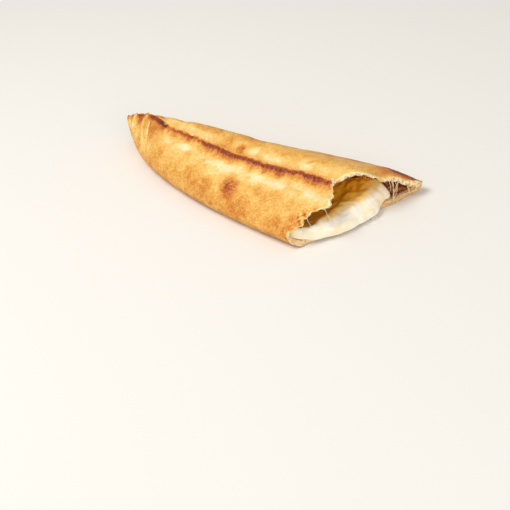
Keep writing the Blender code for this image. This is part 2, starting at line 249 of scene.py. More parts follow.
def underside(x, y):
    near, far = near_edge(x), far_edge(x)
    radius = np.minimum(BASE_RADIUS, 0.42 * (far - near))
    lift = np.where(x < 0.030, TIP_LIFT * hump(x, 0.0, 0.013), 0.0)
    return mix(belly(x), lift, rounded(np.minimum(y - near, far - y), radius))


def lining_edges(x):
    return near_edge(x) + SKIN + 0.0010, far_edge(x) - FAR_SKIN - 0.0010


def lining_roof(x, y):
    near, far = lining_edges(x)
    across = y - seam(x)
    drawn = ease(x, 0.195, 0.225)
    far_skin = FAR_SKIN - THINNED * drawn * (1.0 - 0.5 * ease(y, 0.028, 0.036))
    skin = mix(SKIN, far_skin, ease(across, -0.010, 0.010))
    base = arch(x, y, near, far, crest(x) - skin) - droop(x, y)
    doubled = OVERLAP * seam_strength(x) * hump(across, 0.0015, 0.0085)
    roll = mix(0.65, 0.95, drawn) * ROLL * ease(x, *SEAM_OPENS) * hump(across, ROLL_AT, ROLL_SPREAD)
    swelling = ease(x, *SEAM_CLOSES) * hump(across, BLISTER_AT, BLISTER_SPREAD)
    blister = mix(0.8, 0.95, drawn) * BLISTER * swelling
    return base + (roll + blister - doubled) * ease(np.minimum(y - near, far - y), 0.0, 0.012)


def lining_floor(x, y):
    near, far = lining_edges(x)
    radius = np.minimum(0.8 * BASE_RADIUS, 0.42 * (far - near))
    return mix(belly(x), FLOOR, rounded(np.minimum(y - near, far - y), radius))


def roof_tear(y, z):
    """The roof tore back to the seam and left two lobes of the flap beside it; the edge is ragged."""
    lobe = 0.0026 * hump(y, -0.027, 0.006) + 0.0042 * hump(y, -0.0215, 0.0038)
    lobe += 0.0022 * hump(y, -0.0395, 0.0034) - 0.0026 * hump(y, -0.0300, 0.0032)
    notch = 0.0130 * hump(y, -0.0010, 0.0075) + 0.0060 * hump(y, 0.0085, 0.0055)
    notch += 0.0022 * hump(y, -0.0088, 0.0032)
    flaky = 1.0 + 0.9 * hump(y, -0.036, 0.006)
    ragged = 0.0007 * wander(y, 0.0, 0.0045, 2.2) + 0.0006 * wander(y, z, 0.0024, 4.9)
    ragged += 0.0004 * wander(y, z, 0.0013, 8.8)
    point = TEAR_POINT * ease(y, 0.034, 0.050)
    return torn_line(y) + point + lobe - notch + flaky * ragged - 0.0015


def floor_tear(y):
    bay = 0.0044 * hump(y, 0.016, 0.020) + 0.0022 * hump(y, -0.030, 0.012)
    point = TEAR_POINT * ease(y, 0.046, 0.053) - 0.0022 * hump(y, 0.043, 0.006)
    ragged = 0.0009 * wander(y, 0.0, 0.0060, 9.3) + 0.0006 * wander(y, 0.0, 0.0024, 7.7)
    return torn_line(y) + point - bay + ragged + 0.0004 * wander(y, 0.0, 0.0010, 5.1)


ON_ROOF = NEAR_SAMPLES + FAR_SAMPLES
AROUND = ON_ROOF + BASE_SAMPLES
sample = np.arange(AROUND)


def section_y(x, near, far):
    """Distance from the middle line of each sample round the section, for one x per sample."""
    middle = seam(x)
    near_turn = 0.5 * math.pi * (1.0 - (1.0 - np.minimum(sample / NEAR_SAMPLES, 1.0)) ** 1.55)
    far_turn = 0.5 * math.pi * np.clip((sample - NEAR_SAMPLES) / FAR_SAMPLES, 0.0, 1.0) ** 1.45
    base_turn = math.pi * np.clip((sample - ON_ROOF) / BASE_SAMPLES, 0.0, 1.0)
    on_near = middle - (middle - near) * np.abs(np.cos(near_turn)) ** 1.1
    on_far = middle + (far - middle) * np.sin(far_turn)
    on_base = (near + far) / 2 + (far - near) / 2 * np.cos(base_turn)
    return np.where(sample < NEAR_SAMPLES, on_near, np.where(sample < ON_ROOF, on_far, on_base))


def pleats(x, up):
    """How deep each place lies in a pleat's groove, and how high on the fold before it, from 0 to 1."""
    grooves, folds = np.zeros_like(x), np.zeros_like(x)
    for at, lean, half in PLEATS:
        past = x - at - lean * (1.0 - up)
        grooves += hump(past, 0.0, half)
        folds += hump(past, -2.0 * half, 1.1 * half)
    return grooves, folds


def skin_ring(x):
    """Points of the skin round one section, with the pinch pleats pushed in by the tip."""
    y = section_y(x, near_edge(x), far_edge(x))
    z = np.where(sample < ON_ROOF, roof(x, y), underside(x, y))
    up = np.clip((z - belly(x)) / (crest(x) - belly(x)), 0.0, 1.0)
    grooves, folds = pleats(x, up)
    pleated = (y < seam(x)) & (sample < ON_ROOF)
    push = np.where(pleated, PLEAT_DEPTH * ease(up, 0.28, 0.75) * (grooves - 0.38 * folds), 0.0)
    height = z / TIP_HEIGHT
    rake = TIP_UNDERCUT * (1.0 - ease(height, 0.0, 0.55)) - TIP_NOSE * hump(height, 0.66, 0.30)
    rake = rake * np.exp(-x / 0.012)
    return np.stack([x + rake, y + push * (1.0 - up), z - push * (0.35 + 0.5 * up)], axis=1)


def lining_ring(x):
    y = section_y(x, *lining_edges(x))
    z = np.where(sample < ON_ROOF, lining_roof(x, y), lining_floor(x, y))
    return np.stack([x, y, z], axis=1)


end_x = np.full(AROUND, 0.95 * LENGTH)
end_ring = skin_ring(end_x)
torn_edge = np.where(sample < ON_ROOF, roof_tear(end_ring[:, 1], end_ring[:, 2]), floor_tear(end_ring[:, 1]))
for corner in (0, ON_ROOF):
    for step in (-2, -1, 0, 1, 2):
        k = (corner + step) % AROUND
        torn_edge[k] = (torn_edge[(corner - 3) % AROUND] + torn_edge[(corner + 3) % AROUND]) / 2


def ring_x(stretch, start, setback):
    """Distance from the tip of each sample of a ring: straight at the start, on the tear at the end."""
    straight = mix(start, NEAR_LENGTH, stretch)
    return mix(straight, torn_edge - setback, ease(stretch, 0.55, 1.0))


shares = np.linspace(0.0, 1.0, STATIONS)
skin = np.array([skin_ring(ring_x(share**1.08, 0.0, 0.0)) for share in shares])
lining_shares = np.sin(0.5 * math.pi * np.linspace(0.0, 1.0, LINING_STATIONS))
# Under the torn edge of the roof the lining tore back further in small arches, deepest on the far side
ragged_under = wander(end_ring[:, 1], 0.0, 0.0033, 61.0) + 0.6 * wander(end_ring[:, 1], 0.0, 0.0014, 63.0)
arches = np.where(sample < ON_ROOF, ease(ragged_under, -0.10, 0.55), 0.0)
far_arches = arches * ease(end_ring[:, 1], -0.004, 0.004)
setback = 0.0006 + 0.0014 * far_arches + 0.0004 * arches
lining = np.array([lining_ring(ring_x(share, HOLLOW_START, setback)) for share in lining_shares])
lining[:, :, 2] += 0.0011 * far_arches * ease(lining_shares, 0.90, 1.0)[:, None]


def grid_normals(grid):
    """Outward unit normals of rings of points whose first index runs away from the tip."""
    along = np.gradient(grid, axis=0)
    round_it = np.roll(grid, -1, axis=1) - np.roll(grid, 1, axis=1)
    normals = np.cross(round_it, along)
    return normals / np.maximum(np.linalg.norm(normals, axis=2, keepdims=True), 1e-12)


# Blisters: small bubbles that rose in the skin, more of them by the torn near corner.
# For each lot: how many, the stations and samples they lie between, and their smallest and largest radius.
BLISTERS = (
    (40, (STATIONS - 26, STATIONS - 3), (12, 52), (0.0009, 0.0019)),
    (130, (24, STATIONS - 8), (0, ON_ROOF), (0.0012, 0.0042)),
)
blister_rule = np.random.default_rng(20)
outwards = grid_normals(skin)
blisters = np.zeros(skin.shape[:2])
for count, stations, samples, radii in BLISTERS:
    for number in range(count):
        at = blister_rule.integers(*stations), blister_rule.integers(*samples)
        radius = blister_rule.uniform(*radii)
        height = radius * blister_rule.uniform(0.12, 0.26)
        blisters += height * hump(np.linalg.norm(skin - skin[at], axis=2), 0.0, radius)
wrinkles = 0.00016 * grain(skin, 0.0042, 2.0) + 0.00010 * grain(skin, 0.0019, 6.0)
across = skin[:, :, 1] - seam(skin[:, :, 0])
on_roof = np.where(sample < ON_ROOF, 1.0, 0.0)
on_crest = hump(across, -0.0016, 0.0026) * on_roof
by_corner = hump(skin[:, :, 1], -0.035, 0.0085) * ease(skin[:, :, 0] - torn_edge, -0.011, -0.002) * on_roof
by_end = (1.0 - ease(skin[:, :, 0], 0.020, 0.060)) * (sample < NEAR_SAMPLES)
flakes = (0.00055 * on_crest + 0.00060 * by_corner) * grain(skin, 0.0017, 9.0)
flakes += 0.00030 * by_end * grain(skin, 0.0032, 19.0)
skin = skin + outwards * ((blisters + wrinkles) * on_roof + flakes)[:, :, None]
skin[:, :, 2] = np.maximum(skin[:, :, 2], 0.0)

# How far each place has browned, from 0 for pale dough to 1 for char: these levels are added up.
# Some of them are painted highlights and painted shade, as said where they are added
PLAIN = 0.33
PATCHES, MOTTLES, SMALL_MOTTLES, SPECKLES = 0.055, 0.075, 0.070, 0.085
NEAR_FOOT_SHADE, NEAR_CREAM_AND_HIGHLIGHT, NEAR_SPECKLES, NEAR_BANDS = 0.12, 0.34, 0.040, 0.10
FAR_SIDE, FAR_FOOT, FAR_CREAM_AND_HIGHLIGHT, FAR_PALE_AND_HIGHLIGHT_RUN, FAR_FOLD, FAR_SHADOW_LINE = 0.065, 0.07, 0.17, 0.17, 0.42, 0.26
BASE_SIDE, BASE_PATCHES = 0.16, 0.12
ON_BLISTERS = 0.09
TIP_TOP, TIP_GROOVE_SHADE, TIP_FOLD_HIGHLIGHT, TIP_CREAM_AND_HIGHLIGHT, TIP_SEAM, TIP_END = 0.20, 0.14, 0.28, 0.13, 0.16, 0.22
TORN_PALE, TORN_CORNER, TORN_SPECKLES = 0.24, 0.10, 0.32
PALEST, DARKEST = 0.02, 0.80
x, y, z = skin[:, :, 0], skin[:, :, 1], skin[:, :, 2]
middle = seam(x)
out_near = np.clip((middle - y) / (middle - near_edge(x)), 0.0, 1.0)
out_far = np.clip((y - middle) / (far_edge(x) - middle), 0.0, 1.0)
is_near = (sample < NEAR_SAMPLES) * 1.0
is_far = ((sample >= NEAR_SAMPLES) & (sample < ON_ROOF)) * 1.0
is_base = (sample >= ON_ROOF) * 1.0
patches = grain(skin, 0.023, 1.0)
mottle = PATCHES * patches + MOTTLES * grain(skin, 0.0080, 4.0) + SMALL_MOTTLES * grain(skin, 0.0030, 7.0)
speckle = grain(skin, 0.0014, 12.0)
toast = PLAIN + mottle + SPECKLES * speckle
# A pale band below the rim of the near side: partly unbrowned dough, partly a painted highlight where the
# side faces up
cream_and_highlight = hump(out_near, 0.36, 0.13) * (0.62 + 0.9 * grain(skin, 0.013, 51.0)) * ease(x, 0.030, 0.075)
# The lower part of the near side is painted darker, as shade where it turns down away from the lamp
toast += is_near * (NEAR_FOOT_SHADE * ease(out_near, 0.60, 0.98) - NEAR_CREAM_AND_HIGHLIGHT * np.clip(cream_and_highlight, 0.0, 1.0))
# A pale band on the far roll beside the seam: partly unbrowned dough, partly a painted highlight
far_cream_and_highlight = hump(out_far, 0.15, 0.11) * (0.7 + 0.6 * patches)
toast += is_far * (FAR_SIDE + FAR_FOOT * ease(out_far, 0.35, 0.9) - FAR_CREAM_AND_HIGHLIGHT * far_cream_and_highlight)
toast += is_base * (BASE_SIDE + BASE_PATCHES * grain(skin, 0.016, 17.0))
toast += is_near * NEAR_SPECKLES * speckle * ease(out_near, 0.35, 0.75)
toast += ON_BLISTERS * np.clip(blisters / 0.0004, 0.0, 1.0) * on_roof
# By the tear the flap browned in bands that run down its side
bands = wander(x, y * 0.25, 0.0055, 71.0) + 0.5 * wander(x, y * 0.3, 0.0024, 73.0)
toast += is_near * NEAR_BANDS * bands * ease(x, 0.165, 0.200)
# The flap's rim scorched to a thin dark line, with brown tongues that reach down from it
wavy = 0.0004 * wander(x, 0.0, 0.0045, 15.2) + 0.0003 * wander(x, 0.0, 0.0017, 4.4)
below = -(across - SCORCH_AT - wavy)
scorch = hump(below, 0.0, 0.0012 + 0.0005 * wander(x, 0.0, 0.0060, 13.0)) * on_roof
scorch_level = 0.25 * ease(x, 0.024, 0.036) + 0.11 * ease(x, 0.080, 0.110) - 0.06 * ease(x, 0.186, 0.206)
scorch_level += 0.34 * hump(x, 0.045, 0.0070) + 0.08 * hump(x, 0.130, 0.0085) + 0.07 * hump(x, 0.164, 0.0060)
toast += scorch * scorch_level * (1.0 + 0.35 * wander(x, 0.0, 0.0045, 23.0))
reach = 0.0062 + 0.0022 * wander(x, 0.0, 0.0028, 3.7) + 0.0022 * wander(x, 0.0, 0.0085, 1.2)
tongues = (1.0 - ease(below, 0.10 * reach, 1.25 * reach)) * ease(below, -0.0008, 0.0004) * is_near
tongue_level = 0.16 * ease(x, 0.030, 0.060) + 0.10 * ease(x, 0.085, 0.115) + 0.05 * ease(x, 0.160, 0.200)
toast += tongues * tongue_level * (1.0 + 0.5 * wander(x, 0.0, 0.0060, 29.0))
rim_streaks = tongues * ease(x, 0.050, 0.090)
# Behind the rim the far roll is pale at first, partly unbrowned and partly a painted highlight, then a thin
# brown line of painted shadow runs in the valley where it meets the flap
pale_and_highlight_run = ease(x, 0.034, 0.046) * (1.0 - ease(x, 0.085, 0.115))
toast -= FAR_PALE_AND_HIGHLIGHT_RUN * is_far * hump(across, 0.0070, 0.0050) * pale_and_highlight_run
# Painted shadow: a thin brown line in the valley where the far roll meets the flap
shadow_line_run = ease(x, 0.075, 0.088) * (1.0 - ease(x, 0.122, 0.132))
toast += FAR_SHADOW_LINE * hump(across, 0.0012, 0.0006) * shadow_line_run * on_roof

# Brown spots where the skin rose as a bubble or lay by the fire, and pale ones of negative strength, painted
# highlights by the seam:
# x, y, radius, strength
SPOTS_AND_HIGHLIGHTS = (
    (0.146, -0.033, 0.0092, 0.27),
    (0.182, -0.031, 0.0085, 0.09),
    (0.186, -0.020, 0.0075, 0.10),
    (0.199, -0.030, 0.0070, 0.07),
    (0.118, -0.037, 0.0090, 0.06),
    (0.160, -0.040, 0.0120, 0.07),
    (0.127, 0.000, 0.0046, 0.30),
    (0.187, 0.008, 0.0034, 0.20),
    (0.080, 0.022, 0.0050, 0.12),
    (0.053, 0.012, 0.0028, 0.20),
    (0.206, -0.008, 0.0050, 0.08),
    (0.232, 0.036, 0.0100, 0.10),
    (0.030, -0.014, 0.0090, 0.06),
    (0.150, 0.036, 0.0100, 0.14),
    (0.105, 0.034, 0.0080, 0.10),
    (0.200, 0.040, 0.0120, 0.12),
    (0.139, 0.002, 0.0055, -0.20),
    (0.157, 0.002, 0.0065, -0.20),
    (0.186, 0.005, 0.0070, -0.17),
    (0.056, -0.002, 0.0042, -0.24),
    (0.072, -0.003, 0.0026, 0.16),
)
for at_x, at_y, radius, strength in SPOTS_AND_HIGHLIGHTS:
    at_z = float(roof(np.array(at_x), np.array(at_y)))
    apart = np.linalg.norm(skin - np.array([at_x, at_y, at_z]), axis=2)
    uneven = apart / radius * (1.0 + 0.25 * grain(skin, 0.0050, 21.0)) + 0.25 * speckle
    toast += strength * (1.0 - ease(uneven, 0.45, 1.25)) * (1.0 + 0.45 * speckle) * on_roof

# The tip: pale folded edges as painted highlights, brown in the grooves as painted shade, brown on top of
# the lobes between them, and a pale band at mid height, partly unbrowned dough and partly a painted
# highlight
up = np.clip((z - belly(x)) / (crest(x) - belly(x)), 0.0, 1.0)
by_tip = (1.0 - ease(x, 0.040, 0.060)) * is_near
grooves, folds = pleats(x, up)
toast += by_tip * (TIP_TOP * ease(up, 0.62, 0.92) + TIP_GROOVE_SHADE * grooves * ease(up, 0.15, 0.5))
toast -= by_tip * (TIP_FOLD_HIGHLIGHT * folds * ease(up, 0.40, 0.72) + TIP_CREAM_AND_HIGHLIGHT * hump(up, 0.42, 0.2))
toast += TIP_SEAM * (1.0 - ease(x, 0.030, 0.045)) * hump(across, 0.0, 0.0030) * on_roof
toast -= TIP_END * hump(x, 0.0, 0.0022) * ease(up, 0.1, 0.4) * (1.0 - ease(up, 0.85, 1.0))
# The far fold by the tear is thin and dark
far_fold = ease(x, 0.210, 0.226) * hump(out_far, 0.92, 0.105)
toast += FAR_FOLD * is_far * far_fold * (1.0 + 0.4 * speckle)
# Skin that the tear pulled off is pale, and crumbly brown by the near corner
to_tear = torn_edge - x
toast -= TORN_PALE * hump(to_tear, 0.0, 0.0015) * (1.0 + 0.8 * speckle) * on_roof
toast += by_corner * (TORN_CORNER + TORN_SPECKLES * speckle)
toast = np.clip(toast, PALEST, DARKEST + 0.05 * speckle + 0.14 * hump(x, 0.045, 0.0070))

# Crumb of the torn face, between the skin's edge and the lining's edge
rim = []
for ring in range(1, RIM_RINGS + 1):
    share = ring / (RIM_RINGS + 1)
    band = mix(skin[-1], lining[-1], share)
    band[:, 0] = mix(skin[-1][:, 0], lining[-1][:, 0], share**1.6) + 0.0004 * math.sin(math.pi * share)
    band[:, 0] += 0.0010 * grain(band, 0.0025, 31.0) + 0.0004 * grain(band, 0.0012, 33.0)
    rim.append(band)
rim = np.array(rim)
lining_shift = 0.00035 * grain(lining, 0.0060, 41.0) + 0.00015 * grain(lining, 0.0022, 43.0)
lining = lining + grid_normals(lining) * lining_shift[:, :, None]

rings = np.concatenate([skin, rim, lining[::-1]])
levels = np.concatenate([toast, np.zeros(rim.shape[:2]), np.zeros(lining.shape[:2])])
tip_point = skin[0].mean(axis=0) - np.array([0.0012, 0.0, 0.0])
blind_point = rings[-1].mean(axis=0) - np.array([0.0020, 0.0, 0.0])


def add_mesh(name, points, faces):
    """A mesh object whose points are measured from the tip, put in the frame."""
    mesh = bpy.data.meshes.new(name)
    mesh.from_pydata((np.asarray(points) + np.array(TIP_AT)).tolist(), [], faces)
    mesh.validate()
    mesh.shade_smooth()
    thing = bpy.data.objects.new(name, mesh)
    bpy.context.scene.collection.objects.link(thing)
    return thing


def grid_faces(rings, around):
    """Quads between rings of points, first index away from the tip."""
    i, k = np.meshgrid(np.arange(rings - 1), np.arange(around), indexing="ij")
    a = (i * around + k).ravel()
    b = (i * around + (k + 1) % around).ravel()
    return np.stack([a, a + around, b + around, b], axis=1).tolist()


crust_points = np.concatenate([rings.reshape(-1, 3), [tip_point], [blind_point]])
crust_faces = grid_faces(len(rings), AROUND)
last_ring = (len(rings) - 1) * AROUND
for k in range(AROUND):
    following = (k + 1) % AROUND
    crust_faces.append([len(crust_points) - 2, k, following])
    crust_faces.append([len(crust_points) - 1, last_ring + following, last_ring + k])
crust = add_mesh("crust_baked", crust_points, crust_faces)


def linear(colour):
    """Linear red, green, blue and alpha of an sRGB hex colour."""
    parts = [int(colour[i : i + 2], 16) / 255 for i in (1, 3, 5)]
    return (*[p / 12.92 if p <= 0.04045 else ((p + 0.055) / 1.055) ** 2.4 for p in parts], 1.0)


def add_node(tree, kind, inputs=None, **settings):
    """Adds a node: inputs are values, or sockets or nodes to link from, and settings are its properties."""
    node = tree.nodes.new(kind)
    for key, value in settings.items():
        setattr(node, key, value)
    for key, value in (inputs or {}).items():
        if isinstance(value, bpy.types.Node):
            value = value.outputs[0]
        if isinstance(value, bpy.types.NodeSocket):
            tree.links.new(value, node.inputs[key])
        else:
            node.inputs[key].default_value = value
    return node


def add_stops(node, stops):
    """Sets a colour ramp's stops from pairs of place and hex colour."""
    elements = node.color_ramp.elements
    while len(elements) > 1:
        elements.remove(elements[-1])
    elements[0].position, elements[0].color = stops[0][0], linear(stops[0][1])
    for place, colour in stops[1:]:
        elements.new(place).color = linear(colour)


def new_material(name, values):
    """A material whose shader has the given values on its own sockets."""
    material = bpy.data.materials.new(name)
    material.use_nodes = True
    shader = material.node_tree.nodes["Principled BSDF"]
    for key, value in values.items():
        shader.inputs[key].default_value = value
    return material, material.node_tree, shader


# Baked bread crust: matt, dry, gold to brown by the browning attribute, which also holds painted highlights
# and shade, with speckles of about 1 mm, strokes of 1.5 by 13 mm under the scorched rim, and pinholes 1 mm
# wide and 13 mm apart where steam left, painted dark brown as their shade. The light goes 2 mm into the pale
# dough.
baked, tree, shader = new_material("baked_dough_skin", {
    "Roughness": 0.55, "Specular IOR Level": 0.30, "Subsurface Weight": 0.12,
    "Subsurface Radius": (1.0, 0.55, 0.25), "Subsurface Scale": 0.002,
})
place = add_node(tree, "ShaderNodeTexCoord").outputs["Object"]
browning_and_light = add_node(tree, "ShaderNodeAttribute", attribute_name="toast").outputs["Fac"]
fine = add_node(
    tree, "ShaderNodeTexNoise", {"Vector": place, "Scale": 900.0, "Detail": 3.0, "Roughness": 0.6}
)
spread = add_node(
    tree, "ShaderNodeMapRange",
    {"Value": fine, "From Min": 0.3, "From Max": 0.7, "To Min": -0.085, "To Max": 0.085},
)
level = add_node(tree, "ShaderNodeMath", {0: browning_and_light, 1: spread}, operation="ADD")
drawn_out = add_node(tree, "ShaderNodeMapping", {"Vector": place, "Scale": (1.0, 0.12, 0.12)})
strokes = add_node(tree, "ShaderNodeTexNoise", {"Vector": drawn_out, "Scale": 640.0, "Detail": 2.0})
stroke_level = add_node(
    tree, "ShaderNodeMapRange",
    {"Value": strokes, "From Min": 0.32, "From Max": 0.68, "To Min": -0.06, "To Max": 0.06},
)
rim_streaks_at = add_node(tree, "ShaderNodeAttribute", attribute_name="streaks").outputs["Fac"]
streaked = add_node(
    tree, "ShaderNodeMath", {0: stroke_level, 1: rim_streaks_at, 2: level}, operation="MULTIPLY_ADD"
)
colour = add_node(tree, "ShaderNodeValToRGB", {"Fac": streaked})
add_stops(colour, (
    (0.00, "#FCF0C8"), (0.14, "#FAE1A0"), (0.27, "#F3C974"), (0.40, "#E8B055"), (0.53, "#D68F3B"),
    (0.66, "#BC6226"), (0.80, "#8C3D1E"), (0.92, "#5A2618"), (1.00, "#33150C"),
))
pores = add_node(
    tree, "ShaderNodeTexVoronoi", {"Vector": place, "Scale": 75.0, "Randomness": 1.0}, feature="F1"
)
# The pinholes are painted dark brown, as the shade inside them
pore_shade = add_node(
    tree, "ShaderNodeMapRange",
    {"Value": pores, "From Min": 0.030, "From Max": 0.060, "To Min": 1.0, "To Max": 0.0},
)
pore_shaded = add_node(
    tree, "ShaderNodeMix", {"Factor": pore_shade, "A": colour, "B": linear("#8A5320")}, data_type="RGBA"
)
tree.links.new(pore_shaded.outputs["Result"], shader.inputs["Base Color"])
coarse = add_node(
    tree, "ShaderNodeTexNoise", {"Vector": place, "Scale": 420.0, "Detail": 4.0, "Roughness": 0.65}
)
rough_bump = add_node(tree, "ShaderNodeBump", {"Height": coarse, "Strength": 0.35, "Distance": 0.0006})
tree.links.new(rough_bump.outputs["Normal"], shader.inputs["Normal"])

# Steamed crumb: the soft inside of the dough, cream where it tore and yellow where fat soaked in,
# with holes of 0.5 to 2 mm that are painted darker as their shade, and dark brown painted shade in the
# hollows under the far edge.
crumb, tree, shader = new_material("steamed_crumb", {
    "Roughness": 0.7, "Subsurface Weight": 0.25,
    "Subsurface Radius": (1.0, 0.7, 0.35), "Subsurface Scale": 0.003,
})
place = add_node(tree, "ShaderNodeTexCoord").outputs["Object"]
depth = add_node(tree, "ShaderNodeAttribute", attribute_name="depth").outputs["Fac"]
soak_and_shade = add_node(tree, "ShaderNodeValToRGB", {"Fac": depth})
add_stops(soak_and_shade, (
    (0.00, "#FDEFD2"), (0.05, "#F6D6A2"), (0.10, "#E2AE74"), (0.15, "#F2BA54"), (0.36, "#F8BC36"),
    (0.80, "#EAA622"), (0.98, "#5E3210"),
))
holes = add_node(
    tree, "ShaderNodeTexNoise", {"Vector": place, "Scale": 620.0, "Detail": 3.0, "Roughness": 0.6}
)
# Where the noise marks holes the crumb is painted darker, as the shade inside them
hole_shade = add_node(
    tree, "ShaderNodeMapRange",
    {"Value": holes, "From Min": 0.36, "From Max": 0.52, "To Min": 0.75, "To Max": 0.0},
)
crumb_colour = add_node(
    tree, "ShaderNodeMix", {"Factor": hole_shade, "A": soak_and_shade, "B": linear("#D2A04C")}, data_type="RGBA"
)
tree.links.new(crumb_colour.outputs["Result"], shader.inputs["Base Color"])
crumb_bump = add_node(tree, "ShaderNodeBump", {"Height": holes, "Strength": 0.8, "Distance": 0.0010})
tree.links.new(crumb_bump.outputs["Normal"], shader.inputs["Normal"])


def set_levels(mesh, name, values):
    """Gives each point of a mesh a number that materials read by name."""
    mesh.attributes.new(name, "FLOAT", "POINT").data.foreach_set("value", np.asarray(values, np.float32))


# How deep in the pocket the crumb lies, from 0 to 0.8: fat soaked in there. Near 1 are the hollows under the
# far edge, painted dark brown as their shade.
SOAKED_LENGTH = 0.060
inward = torn_edge[None, :] - lining[::-1, :, 0]
shaded_lining = 0.95 * far_arches * (1.0 - ease(inward, 0.0030, 0.0070))
soaked_lining = 0.8 * np.clip(inward / SOAKED_LENGTH, 0.0, 1.0)
tan_floor = 0.050 + 0.040 * ease(end_ring[:, 1], 0.005, 0.030)
pale_rim = np.where(sample < ON_ROOF, 0.012, tan_floor) + 0.05 * grain(rim, 0.0030, 35.0)
# The inner rings of the torn face by those hollows are painted dark brown as shadow too
shaded_rim = far_arches * np.array([0.0, 0.0, 0.0, 0.0, 0.0, 0.45, 0.90])[:, None]
no_streaks = np.zeros((len(rings) - STATIONS) * AROUND + 2)
set_levels(crust.data, "toast", np.concatenate([levels.ravel(), [toast[0].mean(), 0.0]]))
set_levels(crust.data, "streaks", np.concatenate([rim_streaks.ravel(), no_streaks]))
set_levels(crust.data, "depth", np.concatenate([
    np.zeros(skin.shape[0] * AROUND), np.maximum(pale_rim, shaded_rim).ravel(),
    np.maximum(soaked_lining, shaded_lining).ravel(), [0.0, 0.8],
]))
crust.data.materials.append(baked)
crust.data.materials.append(crumb)
# Crumb from the tear inwards, and on the fan that closes the lining's blind end
slots = np.zeros(len(crust.data.polygons), np.int32)
slots[(STATIONS - 1) * AROUND : (len(rings) - 1) * AROUND] = 1
slots[-2 * AROUND + 1 :: 2] = 1
crust.data.polygons.foreach_set("material_index", slots)
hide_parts("crust")
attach(crust, "root")

# ================================================================ the melted cheese
# White stretching cheese that melted into one mass. It lies on the floor of the pocket, climbs to the roof
# on the far side, and where the loaf was pulled apart it swelled into a glossy roll that sags over the edge.

CHEESE_START = 0.044
CHEESE_REST = 0.0122
CHEESE_RISE = 0.0056
CHEESE_HOLLOW = 0.0056
CHEESE_OVERHANG = 0.0062
CHEESE_RIDGE = 0.219
CHEESE_SAG = 0.16
CHEESE_DROOP = 0.0026  # how far the roll hangs below the floor's top
POCKET = (0.065, 0.140)
MEAT_START = 0.080
MEAT_SHARE = 0.68
FILM = 0.0002  # fat between cheese and dough
CHEESE_COLUMNS, CHEESE_ROWS = 190, 120


def meat_line(x):
    far = lining_edges(x)[1]
    inner = MEAT_SHARE * far + 0.0012 * wander(x, 0.0, 0.017, 12.3)
    return mix(far, inner, ease(x, 0.045, MEAT_START))


def cheese_ridge(y):
    """The line where the roll is highest; behind it the cheese has sunk."""
    return CHEESE_RIDGE - 0.0085 * ease(-y, 0.024, 0.042)


def cheese_front(y):
    over = CHEESE_OVERHANG * hump(y, -0.010, 0.022)
    return torn_line(y) + over - 0.0040 * ease(-y, 0.030, 0.044) - 0.0038 * ease(y, 0.010, 0.030)


def cheese_top(x, y):
    climb = CHEESE_RISE * ease(y, 0.004, 0.032)
    behind = cheese_ridge(y) - x
    hollow = CHEESE_HOLLOW * ease(behind, -0.002, 0.018) * (1.0 - 0.5 * ease(y, 0.0, 0.028))
    filled = 0.016 * (1.0 - ease(x, *POCKET))
    return CHEESE_REST + climb - hollow + filled + 0.0008 * wander(x, y, 0.014, 14.6)


u, v = np.meshgrid(np.linspace(0, 1, CHEESE_COLUMNS + 1), np.linspace(0, 1, CHEESE_ROWS + 1), indexing="ij")
share = 0.5 - 0.5 * np.cos(math.pi * v)
front_y = mix(float(lining_edges(np.array(NEAR_LENGTH))[0]), float(meat_line(np.array(LENGTH))), share)
bulges = 0.0014 * wander(share, 0.0, 0.16, 5.5) + 0.0007 * wander(share, 0.0, 0.06, 7.5)
blunt = 0.0045 * (1.0 - rounded(1.0 - share, 0.09)) + 0.0030 * (1.0 - rounded(share, 0.05))
front = cheese_front(front_y) + bulges - blunt
x = mix(CHEESE_START, front, np.sin(0.5 * math.pi * u) ** 1.15)
near, far = lining_edges(x)[0] + FILM, meat_line(x) - FILM
y = mix(near, far, share)
past_floor = ease(x - floor_tear(y), 0.0002, 0.0026) * np.sin(math.pi * share) ** 0.35
low = lining_floor(x, y) + FILM - CHEESE_DROOP * past_floor
folds = 0.0019 * wander(x, y, 0.0080, 24.0) + 0.0007 * wander(x, y, 0.0036, 26.0)
folds += 0.0003 * wander(0.25 * x, y, 0.0016, 28.0)
folds += 0.0013 * wander(x, y, 0.0046, 30.0) * ease(y, 0.006, 0.020)
high = np.maximum(low, np.minimum(cheese_top(x, y) + folds, lining_roof(x, y) - FILM))
beside_meat = np.where(x > MEAT_START, rounded(far - y + 0.0002, 0.0030), 1.0)
border = mix(low, high, CHEESE_SAG)
slope = np.clip((front - x) / np.maximum(front - cheese_ridge(y), 0.006), 0.0, 1.0)
upper_z = mix(border, high, (1.0 - (1.0 - slope) ** 2.1) ** (1 / 1.9) * beside_meat)
lower_z = mix(border, low, rounded(front - x, 0.0040) * beside_meat)


def pillow_mesh(name, x, y, upper_z, lower_z):
    """A closed mesh from an upper and a lower sheet that share their border."""
    inside = np.zeros(x.shape, bool)
    inside[1:-1, 1:-1] = True
    upper_at = np.arange(x.size).reshape(x.shape)
    lower_at = upper_at.copy()
    lower_at[inside] = x.size + np.arange(inside.sum())
    points = np.concatenate([
        np.stack([x.ravel(), y.ravel(), upper_z.ravel()], axis=1),
        np.stack([x[inside], y[inside], lower_z[inside]], axis=1),
    ])
    faces = []
    for at, turn in ((upper_at, 1), (lower_at, -1)):
        corners = [at[:-1, :-1], at[1:, :-1], at[1:, 1:], at[:-1, 1:]]
        faces += np.stack([c.ravel() for c in corners[::turn]], axis=1).tolist()
    return add_mesh(name, points, faces)


cheese = pillow_mesh("cheese_melted", x, y, upper_z, lower_z)
